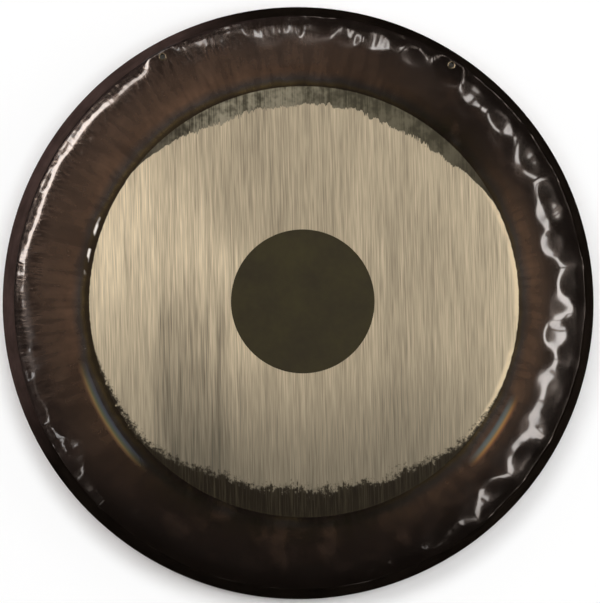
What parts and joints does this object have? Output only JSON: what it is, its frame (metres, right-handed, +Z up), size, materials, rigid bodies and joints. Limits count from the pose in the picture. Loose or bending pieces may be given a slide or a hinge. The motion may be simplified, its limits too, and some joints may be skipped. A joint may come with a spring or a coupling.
{
  "type": "symphonic gong",
  "caption": "Hanging gong of hammered sheet bronze with a low crowned face, a scraped band round a raw centre, a turned-back rim and eyelet-lined cord holes.",
  "frame": {"origin": "where the gong hangs: midway between the centres of the cord holes, on the front of the sheet there", "axes": "+Z up towards what the gong hangs from; the gong's axis lies along Y, with the face towards -Y and the open back towards +Y; +X to the right as the player sees the face"},
  "size_m": [0.813, 0.0685, 0.813],
  "materials": {
    "gong_bronze": "satin",
    "eyelet_brass": "satin"
  },
  "bodies": {
    "root": {"gong_shell": "gong_bronze", "cord_eyelet_left": "eyelet_brass", "cord_eyelet_right": "eyelet_brass", "clinch_washer_left": "eyelet_brass", "clinch_washer_right": "eyelet_brass"}
  },
  "joints": []
}
